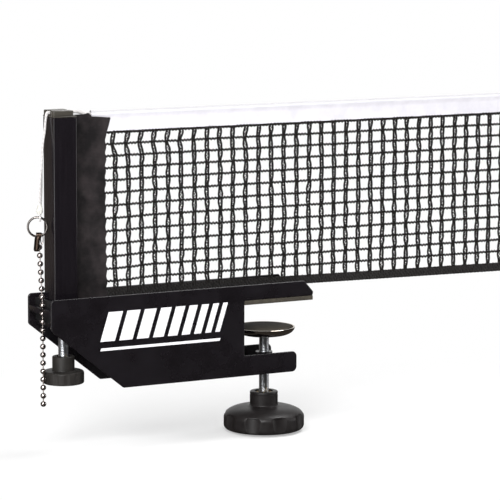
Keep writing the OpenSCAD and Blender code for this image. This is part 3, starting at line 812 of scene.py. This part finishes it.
knob_r, hub_r, knob_low, knob_top, hub_top = 31.4, 10.9, -101.5, -83.0, -71.5
dome_r, dome_h = knob_r - hub_r - 1.2, 8.5
clamp_knob = turned("Clamp_knob", [
    (0, knob_low + 1.5), (knob_r - 9.5, knob_low + 1.5), (knob_r - 8.6, knob_low + 1.2),
    (knob_r - 8.2, knob_low + 0.3), (knob_r - 7.6, knob_low),
    *arc((knob_r - 4, knob_low + 4), 4, -90, -5, 10),
    *[(knob_r, knob_low + 4 + k * 0.65) for k in range(1, 10)],
    *arc((hub_r + 1.2, knob_top - dome_h), dome_r, 4, 80, 22, dome_h / dome_r),
    (hub_r + 1.3, knob_top + 0.1), (hub_r + 0.5, knob_top + 0.5), (hub_r, knob_top + 1.3),
    (hub_r, hub_top - 2.6), (hub_r - 0.25, hub_top - 2.4), (hub_r - 0.25, hub_top - 2.0),
    (hub_r, hub_top - 1.8), (hub_r, hub_top - 0.9), (hub_r - 0.25, hub_top - 0.3), (hub_r - 0.9, hub_top),
    (7.4, hub_top), (7.1, hub_top - 0.2), (7.0, hub_top - 1.0), (0, hub_top - 1.0),
], 360)
GRIP_R, GRIP_TOP = 13.0, -88.2


def grip(angle, z):
    """The grips are deeper at the top, so their floors face up a little and catch the light."""
    depth = 1.0 + 0.13 * (z - knob_low)
    return round_cut(angle, GRIP_R, knob_r + GRIP_R - depth)


scoop(clamp_knob, 0, 9, 25, grip, lambda z: ease((GRIP_TOP - z) / 0.7))
smooth(clamp_knob, 26)
finished(clamp_knob, "clamp_spindle", KNOB_PLASTIC, ["clamp_knob"])

# %% The height knob
small_r, small_hub_r, small_low, small_hub_top = 15.5, 8.4, -50.5, -30.0
height_knob = turned("Height_knob", [
    (0, small_low + 1), (small_r - 4, small_low + 1), (small_r - 3.4, small_low),
    *arc((small_r - 1.2, small_low + 1.2), 1.2, -90, 0, 5),
    *[(small_r, small_low + 1.2 + k * 0.65) for k in range(1, 10)],
    *arc((small_r - 1.8, small_low + 7.7), 1.8, 0, 90, 7),
    (small_hub_r + 0.7, small_low + 9.5), (small_hub_r + 0.15, small_low + 9.7),
    (small_hub_r, small_low + 10.2),
    (small_hub_r, small_hub_top - 0.7), (small_hub_r - 0.2, small_hub_top - 0.2),
    (small_hub_r - 0.7, small_hub_top), (5.2, small_hub_top), (5.0, small_hub_top - 0.3),
    (5.0, small_hub_top - 1), (0, small_hub_top - 1),
], 168, HEIGHT_SCREW_X)
SMALL_GRIP_R, SMALL_GRIP_TOP = 5, -41.6
scoop(height_knob, HEIGHT_SCREW_X, 12, 15,
      lambda angle, z: round_cut(angle, SMALL_GRIP_R, small_r + SMALL_GRIP_R - 0.6),
      lambda z: ease((SMALL_GRIP_TOP - z) / 1.2))
smooth(height_knob, 50)
finished(height_knob, "height_spindle", GREY_PLASTIC, ["height_knob"])

# %% [markdown]
# ## Ring, connector and ball chain
# The split ring is two turns of wire that lie side by side, so it is swept along a helix whose turns
# change sides once. The connector is a strap folded into a channel, open to the right, and the chain is
# one bead with dimpled poles, copied along the chain, with a wire link between each pair.

# %% The split ring
RING_WIRE = (0.62, 0.8)
ring_points = []
for k in range(121):
    a = 2 * math.pi * 2 * k / 120 - 1.2
    aside = RING_WIRE[0] * (2 * ease((k / 120 - 0.46) / 0.08) - 1)
    ring_points.append(RING_CENTRE + RING_R * (ring_along * math.cos(a) + Vector((0, 0, math.sin(a))))
                       + ring_across * aside)
split_ring = swept_piece("Split_ring", [swept_shape(ring_points, RING_WIRE, 10)])
finished(split_ring, "bracket", SPRING, ["split_ring"])

# %% Beads and links
BEAD_R, LINK_R, BEAD_STEP = 2.2, 0.45, Vector((0, 0, 6.2))
HOOK, CONNECTOR = Vector((-189.3, -2.5, 3.6)), Vector((-190.312, 0.296, 53.2))
bpy.ops.mesh.primitive_uv_sphere_add(segments=24, ring_count=14, radius=BEAD_R * MM, location=(0, 0, 0))
bead = bpy.context.object
pick(bead, lambda co: abs(co.z) > 2.09 * MM)
bpy.ops.transform.resize(value=(1.0, 1.0, 0.93))
pick(bead, lambda co: math.hypot(co.x, co.y) < 0.05 * MM)
bpy.ops.transform.resize(value=(1.0, 1.0, 0.72))
close()


def neighbours(beads):
    """The pairs of beads that a link joins."""
    return list(zip(beads, beads[1:]))


def chain(node, body, beads, links):
    """Copies the bead to each place and joins the copies with straight wire links, in mm."""
    copies = [copy_of(bead, "Bead", place_mm) for place_mm in beads]
    wires = [
        swept_shape([first.lerp(last, k / 3) for k in range(4)], (LINK_R, LINK_R), 10)
        for first, last in links
    ]
    piece = joined(*copies, swept_piece(node.capitalize(), wires))
    smooth(piece, 50)
    finished(piece, body, NICKEL, [node])


upper_beads = [(HOOK + BEAD_STEP).lerp(CONNECTOR, i / 7) for i in range(8)]
tail_beads = [HOOK - BEAD_STEP * i for i in range(12)]
under_catch, under_swing = HOOK + Vector((0, 0, 2.2)), HOOK - Vector((0, 0, 14.6))
chain("chain_upper", "bracket", upper_beads, [(under_catch, upper_beads[0]), *neighbours(upper_beads)])
chain("chain_tail_upper", "chain_swing", tail_beads[:3], neighbours(tail_beads[:3]))
chain("chain_tail_lower", "chain_end", tail_beads[3:],
      [(under_swing, tail_beads[3]), *neighbours(tail_beads[3:])])
bpy.data.objects.remove(bead)

# %% [markdown]
# The connector is one strip of sheet metal. Its top is folded over the ring, and its lower half is curled
# round the last bead, open to the right.


# %% The chain's connector
STRAP_MM, SHELL_COLUMNS, SHELL_ROWS, FOLD_COLUMNS, FOLD_ROWS = 0.45, 20, 14, 4, 16
WIRE_LOW, WIRE_HIGH, WIRE_R, WIRE_POINTS = 55.4, 63.4, 0.4, 28


def sheet(name, columns, rows, at, thickness_mm):
    """A bent sheet of metal or cloth: at(column, row) gives each point in mm, for the columns counted from
    0 and for each of the rows' values, and Solidify gives the sheet its thickness."""
    points = [at(column, row) for row in rows for column in range(columns)]
    faces = [
        (r * columns + c, r * columns + c + 1, (r + 1) * columns + c + 1, (r + 1) * columns + c)
        for r in range(len(rows) - 1) for c in range(columns - 1)
    ]
    piece = mesh_piece(name, points, [], faces)
    face_outward(piece)
    modifier(piece, "SOLIDIFY", thickness=thickness_mm * MM, offset=0)
    smooth(piece, 60)
    return piece


def in_ring_frame(x, y, z):
    """A point beside the connector's middle: x along the ring, y across it."""
    return Vector((CONNECTOR.x, CONNECTOR.y, z)) + ring_along * x + ring_across * y


def shell_point(column, row):
    """The curled lower half: open towards +x, drawn in at both ends."""
    angle = math.radians(62 + 236 * column / SHELL_COLUMNS)
    height = 50.3 + 11.6 * row / SHELL_ROWS
    drawn_in = 0.72 + 0.28 * ease((height - 50.0) / 1.4) - 0.22 * ease((height - 59.5) / 2.2)
    radius = 2.65 * drawn_in
    return in_ring_frame(radius * math.cos(angle) - 0.1 * (66 - height), radius * math.sin(angle), height)


def fold_point(column, row):
    """The fold over the ring's wire, as wide as a wire loop needs."""
    angle = math.radians(-38 + 256 * row / FOLD_ROWS)
    sideways = -2.4 + 4.0 * column / FOLD_COLUMNS
    return in_ring_frame(sideways, 2.1 * math.cos(angle), 61.9 + 2.1 * math.sin(angle))


def wire_point(turn):
    """The thin wire loop beside the strap that keeps the bead from slipping out."""
    middle, reach = (WIRE_LOW + WIRE_HIGH) / 2, (WIRE_HIGH - WIRE_LOW) / 2
    return in_ring_frame(1.9 + 0.9 * math.cos(turn), 0.6 * math.cos(turn), middle + reach * math.sin(turn))


shell = sheet("Connector_shell", SHELL_COLUMNS + 1, range(SHELL_ROWS + 1), shell_point, STRAP_MM)
fold = sheet("Chain_connector", FOLD_COLUMNS + 1, range(FOLD_ROWS + 1), fold_point, STRAP_MM)
strap = joined(shell, fold)
smooth(strap, 40)
finished(strap, "bracket", GUNMETAL, ["chain_connector"])
wire_points = [wire_point(2 * math.pi * k / WIRE_POINTS) for k in range(WIRE_POINTS)]
wire = swept_piece("Connector_wire", [swept_shape(wire_points, (WIRE_R, WIRE_R), 10, closed=True)])
finished(wire, "bracket", NICKEL, ())

# %% [markdown]
# ## Post and cap
# The post is a square steel tube with a slot towards the net. Its copy gets the round corners of a drawn
# tube. The cap is moulded from glass-filled nylon: a thin flange, and a block on it that the cord's
# groove splits in two.

# %% Post
softened("post", "net_post", TUBE_COAT, 1.3, 5)


# %% Cap
def moulded_block(name, low, high, edge_mm):
    """A block between two corners, in mm, with rounded edges."""
    low, high = Vector(low), Vector(high)
    bpy.ops.mesh.primitive_cube_add(size=1, location=(low + high) / 2 * MM)
    block = bpy.context.object
    block.name = name
    block.scale = (high - low) * MM
    place(block)
    modifier(block, "BEVEL", width=edge_mm * MM, segments=3, limit_method="ANGLE")
    return block


POST_LEFT, POST_RIGHT, POST_HALF, POST_TOP = -182.5, -163.5, 9.5, 149.6
CAP_TOP, CAP_RIGHT, CAP_HALF, GROOVE_HALF, GROOVE_Z = 154.6, -166.0, 9.0, 1.75, 151.3
CAP_LEFT = POST_LEFT + 0.3
cap = joined(*[
    moulded_block(name, (left, front, POST_TOP + foot), (right, back, top), edge_mm)
    for name, left, right, front, back, foot, top, edge_mm in (
        ("Cap_flange", POST_LEFT, POST_RIGHT, -POST_HALF, POST_HALF, 0, POST_TOP + 0.9, 0.3),
        ("Cap_base", CAP_LEFT, CAP_RIGHT, -CAP_HALF, CAP_HALF, 0.2, GROOVE_Z, 0.3),
        ("Cap_rear", CAP_LEFT, CAP_RIGHT, GROOVE_HALF, CAP_HALF, 0.3, CAP_TOP, 0.8),
        ("Post_cap", CAP_LEFT, CAP_RIGHT, -CAP_HALF, -GROOVE_HALF, 0.3, CAP_TOP, 0.8),
    )
])
smooth(cap, 40)
finished(cap, "net_post", CAP_PLASTIC, ["post_cap"])

# %% [markdown]
# ## Table pad
# A strip of moulded rubber lies under the upper arm and bears on the table. Its underside is ribbed
# across, so that it grips. It starts as one box; the edges are bevelled, and one rib is modelled and
# copied along the strip.

# %% Rubber strip with ribs
PAD_LOW, PAD_HIGH, PAD_HALF, PAD_Z, PAD_H = -28.5, 31.5, 21.25, 2.3, 3.4
RIB_R, RIB_COUNT, FIRST_RIB, RIB_STEP, RIB_Z = 0.9, 19, -25.5, 3.0, 0.75
bpy.ops.mesh.primitive_cube_add(size=1, location=((PAD_LOW + PAD_HIGH) / 2 * MM, 0, PAD_Z * MM))
pad = bpy.context.object
pad.name = "Table_pad"
pad.scale = ((PAD_HIGH - PAD_LOW) * MM, 2 * PAD_HALF * MM, PAD_H * MM)
place(pad)
modifier(pad, "BEVEL", width=0.35 * MM, segments=2, limit_method="ANGLE")
bpy.ops.mesh.primitive_cylinder_add(vertices=12, radius=RIB_R * MM, depth=2 * (PAD_HALF - 0.8) * MM,
                                    rotation=(math.radians(90), 0, 0), location=(0, 0, 0))
rib = bpy.context.object
rib.scale = (1, 1, 0.8)
place(rib)
ribs = [copy_of(rib, "Rib", (FIRST_RIB + RIB_STEP * i, 0, RIB_Z)) for i in range(RIB_COUNT)]
bpy.data.objects.remove(rib)
joined(*ribs, pad)
smooth(pad)
finished(pad, "bracket", RUBBER, ["table_pad"])

# %% [markdown]
# ## Net
# The netting is knotted from doubled yarn. Each upright is two strands that lie together at the knots
# and spread a little between them; each row is one thicker, bumpy yarn. All of it is swept yarn of a
# few sides, because there are hundreds of cells.

# %% Where rows and uprights run
NET_LEFT, NET_RIGHT, COLUMNS, ROWS = -127.9, 229.2, 33, 13
YARN_LEFT, YARN_RIGHT = -137.0, 238
STRAND_R, ROW_R, TOP_ROW_R, STITCH_R = 0.8, 0.7, 1.0, 0.44
dice = random.Random(7)


def foot_at(x):
    """Height of the net's lower edge, which falls towards the free end."""
    return 10.6 - 0.0128 * x


def row_height(x, row):
    """Height of a row: row 0 lies in the tape, the last one along the white band. The lowest rows rise a
    little beside the sleeve, and the upper ones bow upwards."""
    low = 14.0 - 0.0039 * x + 1.6 * ease((x + 128) / 35)
    return low + (136.3 - low) * row / ROWS + 1.2 * math.sin(math.pi * max(0, row - 4) / (ROWS - 4))


def column_x(column, row):
    return NET_LEFT + (NET_RIGHT - NET_LEFT) * column / (COLUMNS - 1) + wobble[column][row]


wobble = [[dice.uniform(-0.45, 0.45) for _ in range(ROWS + 1)] for _ in range(COLUMNS)]
wobble[0] = [dice.uniform(-0.9, 0.9) for _ in range(ROWS + 1)]
for column in range(COLUMNS):
    wobble[column][ROWS - 1] -= 2.4 * math.exp(-column / 7)

# %% Netting
strands = []
for column in range(COLUMNS):
    for side in (-1, 1):
        points = []
        for row in range(ROWS):
            x0, x1 = column_x(column, row), column_x(column, row + 1)
            bow, lean = dice.uniform(0.0, 0.62), dice.uniform(-0.35, 0.35)
            for t in (k / 6 for k in range(6)):
                spread = 1.0 + bow * math.sin(math.pi * t) ** 2
                x = x0 + (x1 - x0) * t + side * spread + lean * math.sin(2 * math.pi * t)
                z = row_height(x, row) * (1 - t) + row_height(x, row + 1) * t
                points.append(Vector((x, side * 0.3 * math.cos(math.pi * (row + t)), z)))
        points.append(Vector((column_x(column, ROWS) + side * 0.88, 0, row_height(0, ROWS))))
        strands.append(swept_shape(points, (STRAND_R, STRAND_R), 5))
for row in range(1, ROWS + 1):
    points = []
    x = YARN_LEFT
    while x < YARN_RIGHT:
        z = row_height(x, row) + 0.7 * math.sin(x * 2.33 + row)
        points.append(Vector((x, 0.15 * math.sin(x * 2.1), z)))
        x += 0.55
    thick = TOP_ROW_R if row == ROWS else ROW_R
    strands.append(swept_shape(points, (thick, thick), 5))
netting = swept_piece("Netting", strands)
finished(netting, "net_post", NET_YARN, ["net_mesh"])

# %% Loops between the two strands of an upright
LOOPS_A_ROW = 7
stitches = []
for column in range(COLUMNS):
    points = []
    for k in range(ROWS * LOOPS_A_ROW):
        row, t = divmod(k, LOOPS_A_ROW)
        t /= LOOPS_A_ROW
        x = column_x(column, row) * (1 - t) + column_x(column, row + 1) * t
        z = row_height(x, row) * (1 - t) + row_height(x, row + 1) * t
        points.append(Vector((x + (0.85 if k % 2 else -0.85) * dice.uniform(0.4, 1.0), 0, z)))
    stitches.append(swept_shape(points, (STITCH_R, STITCH_R), 4))
netting_loops = swept_piece("Netting_loops", stitches)
finished(netting_loops, "net_post", NET_YARN, ())

# %% [markdown]
# ## Cloth parts of the net
# The band, the end sleeves and the tape are strips of cloth that are folded and sewn. Each is modelled as
# a sheet that follows the fold and is given wrinkles.


# %% Edges and even steps
def value_at(places, x):
    """The value at x on a line of (x, value) points."""
    for (x0, value0), (x1, value1) in zip(places, places[1:]):
        if x <= x1:
            return value0 + (value1 - value0) * (x - x0) / (x1 - x0)
    return places[-1][1]


def steps(first, last, spacing):
    """Even steps from the first value to the last, about this far apart."""
    count = max(1, round(abs(last - first) / spacing))
    return [first + (last - first) * k / count for k in range(count + 1)]


# %% The white band
BAND_LEFT, BAND_RIGHT, BAND_Z, SEAM_Z = -148.0, 244.0, 137.0, 147.4
TUNNEL_R, LAYER_Y = 1.9, 0.52


def band_section():
    """The fold over the cord, from the front layer's lower edge round to the back one's, as (y, z)."""
    front = [(-LAYER_Y, z) for z in steps(BAND_Z, SEAM_Z, 1.3)]
    top = [(-TUNNEL_R * math.cos(a), CORD_Z + TUNNEL_R * math.sin(a))
           for a in (math.radians(-32 + 244 * k / 18) for k in range(19))]
    return front + top + [(-y, z) for y, z in reversed(front)]


section = band_section()


def band_point(fold, x):
    """The layers wave a little below the seam, and the band's left end rises over the sleeve's corner."""
    y, z = section[fold]
    push = 0.10 * math.sin(x * 0.21) + 0.08 * math.sin(x * 0.53 + 1)
    lower = max(0.0, (147 - z) / 10)
    rise = 0.9 * ease((-141 - x) / 8) * ease((z - 148) / 3)
    return Vector((x, y + push * lower * 0.5, z + rise))


white_band = sheet("White_band", len(section), steps(BAND_LEFT, BAND_RIGHT, 2.0), band_point, 0.36)
finished(white_band, "net_post", TAPE, ["net_band"])

# %% The black end sleeve
ROD_X, LOOP_R, SLEEVE_TOP, SLEEVE_FOOT = -168.4, 2.45, 149.4, 11.6
SLEEVE_LEFT, BAND_EDGE, SLEEVE_THICK = -161.1, -153.5, 0.55
RIGHT_EDGE = [(11.6, -134.9), (90, -136.1), (137, -135.5), (147.4, -132.5), (149.4, -132.5)]
TOP_EDGE = [(-161.1, 150.4), (-153.5, 150.5), (-151.2, 151.6), (-149.6, 151.2), (-148.4, 148.9),
            (-132, 147.2)]
neck_run = [(-162.1, 0.62), (-163.1, 0.5), (-164.7, 0.5)]
loop_run = [math.radians(-14 - 332 * k / 24) for k in range(25)]


def sleeve_edge(z):
    """Where the sleeve's right edge runs: pulled in a little between the net's rows."""
    x = value_at(RIGHT_EDGE, z)
    if z < BAND_Z:
        low = row_height(-135, 0)
        x -= 1.1 * math.sin(math.pi * (z - low) / (136.7 - low) * ROWS) ** 2
    return x


def sleeve_path():
    """Round the sleeve in one line: the front layer, the neck in the post's slot, the loop round the rod,
    the neck again and the rear layer. Each place is its kind, its side and its numbers."""
    flat = [k / 26 for k in range(27)]
    path = [("flat", -1, share) for share in flat]
    path += [("neck", -1, x, y) for x, y in neck_run]
    path += [("loop", 0, a) for a in loop_run]
    path += [("neck", 1, x, y) for x, y in reversed(neck_run)]
    path += [("flat", 1, share) for share in reversed(flat)]
    return path


def flat_point(side, share, level):
    """A point of the front or rear layer, with wrinkles, and a bulge where it covers the band's end. Its
    upper edge rises to a corner beside the band and falls over the band."""
    right = sleeve_edge(SLEEVE_FOOT + (SLEEVE_TOP - SLEEVE_FOOT) * level)
    x = right + (SLEEVE_LEFT - right) * share
    z = SLEEVE_FOOT + (value_at(TOP_EDGE, max(x, SLEEVE_LEFT)) - SLEEVE_FOOT) * level
    wrinkle = 0.8 * noise.noise(Vector((x * 0.05 + 3, side * 2.0, z * 0.09)))
    wrinkle += 0.4 * noise.noise(Vector((x * 0.16, side * 5.0, z * 0.32)))
    wrinkle += 0.28 * ease(1 - abs(x - right) / 9) * math.sin(2 * math.pi * z / 9.25)
    bulge = 0.95 * ease((x - BAND_EDGE) / 2.5) * ease((z - 145.4) / 3.0)
    loose = ease((z - 14) / 20) * ease((x - SLEEVE_LEFT) / 0.6)
    return Vector((x, side * (1.0 + bulge + max(-0.1, wrinkle * loose)), z))


sleeve_folds = sleeve_path()


def sleeve_point(fold, level):
    kind, side, *numbers = sleeve_folds[fold]
    if kind == "flat":
        return flat_point(side, numbers[0], level)
    if kind == "loop":
        x, y = ROD_X + LOOP_R * math.cos(numbers[0]), LOOP_R * math.sin(numbers[0])
        low, high = 14.5, 148.4
    else:
        x, y = numbers[0], side * numbers[1]
        inward = ease((-161.0 - x) / 2.5)
        low, high = SLEEVE_FOOT + 2.9 * inward, SLEEVE_TOP - 1.0 * inward
    return Vector((x, y, low + (high - low) * level))


sleeve = sheet("Net_sleeve", len(sleeve_folds), steps(0, 1, 1 / 90), sleeve_point, SLEEVE_THICK)
finished(sleeve, "net_post", NYLON, ["net_sleeve"])


# %% The sleeve at the free end
END_LEFT, END_RIGHT, TURN_FIRST, TURN_LAST, END_FOLDS = 236, 251, 10, 18, 28


def end_sleeve_point(fold, level):
    """Out along the front layer, round the net's end and back along the rear layer."""
    if fold <= TURN_FIRST:
        x, y = END_LEFT + (END_RIGHT - END_LEFT) * fold / TURN_FIRST, -1.0
    elif fold <= TURN_LAST:
        a = math.radians(-90 + 180 * (fold - TURN_FIRST) / (TURN_LAST - TURN_FIRST))
        x, y = END_RIGHT + math.cos(a), math.sin(a)
    else:
        x, y = END_RIGHT - (END_RIGHT - END_LEFT) * (fold - TURN_LAST) / (END_FOLDS - TURN_LAST), 1.0
    z = foot_at(x) + (SLEEVE_TOP - foot_at(x)) * level
    bulge = 0.95 * ease((z - 145.4) / 3.0) + 0.2 * noise.noise(Vector((x * 0.1, fold / END_FOLDS, z * 0.12)))
    return Vector((x, y + y / max(abs(y), 0.2) * bulge, z))


end_sleeve = sheet("Net_end_sleeve", END_FOLDS + 1, steps(0, 1, 1 / 60), end_sleeve_point, SLEEVE_THICK)
finished(end_sleeve, "net_post", NYLON, ["net_end_sleeve"])


# %% The tape along the lower edge
TAPE_LEFT, TAPE_RIGHT, TAPE_H, TAPE_FOLDS = -135.5, 237, 6.8, 6


def tape_point(fold, x):
    edge_wave = 0.12 * math.sin(x * 1.9) if fold in (0, TAPE_FOLDS) else 0
    return Vector((x, 0.12 * math.sin(x * 0.7 + fold), foot_at(x) + TAPE_H * fold / TAPE_FOLDS + edge_wave))


tape = sheet("Net_tape", TAPE_FOLDS + 1, steps(TAPE_LEFT, TAPE_RIGHT, 1.2), tape_point, 0.7)
finished(tape, "net_post", SELVEDGE, ["net_tape"])
loops = []
for side in (-1, 1):
    points = []
    x = TAPE_LEFT
    while x < TAPE_RIGHT:
        z = foot_at(x) + (0.5 if len(points) % 2 else TAPE_H - 0.2)
        points.append((x, side * 0.5, z + dice.uniform(-0.4, 0.4)))
        x += 1.15
    loops.append(swept_shape(smooth_route(points, 1.6), (0.42, 0.42), 6))
tape_loops = swept_piece("Net_tape_loops", loops)
finished(tape_loops, "net_post", SELVEDGE, ())

# %% [markdown]
# ## Print on the front plate
# Such plates carry a screen print. This one is a plain row of slanted bars that get narrower, over a thin
# line. Ink is only a few hundredths of a millimetre thick, so the bars lie just proud of the coat.


# %% Slanted bars and a line
PRINT_LEFT, GAP, BARS, BAR_LOW, BAR_HIGH, BAR_LEAN, FIRST_WIDTH = -151.0, 3.6, 9, -18, 4, 7, 12.0
LINE_LOW, LINE_HIGH, LINE_LEAN, PLATE_Y, INK_MM = -25, -23, 0.6, -21.25, 0.08


def bar(low, high, left, right, lean):
    """A slanted bar of ink on the front plate, in mm."""
    bpy.ops.mesh.primitive_plane_add(size=1, location=(0, 0, 0), rotation=(math.radians(90), 0, 0))
    ink = bpy.context.object
    place(ink)
    for vertex in ink.data.vertices:
        top = vertex.co.z > 0
        side = right if vertex.co.x > 0 else left
        vertex.co = Vector((side + (lean if top else 0), PLATE_Y, high if top else low)) * MM
    modifier(ink, "SOLIDIFY", thickness=INK_MM * MM, offset=0)
    return ink


bars, left = [], PRINT_LEFT
for i in range(BARS):
    width = FIRST_WIDTH - i
    bars.append(bar(BAR_LOW, BAR_HIGH, left, left + width, BAR_LEAN))
    left += width + GAP
bars.append(bar(LINE_LOW, LINE_HIGH, PRINT_LEFT, left - GAP, LINE_LEAN))
ink = joined(*bars)
ink.name = "Print"
finished(ink, "bracket", INK, ())
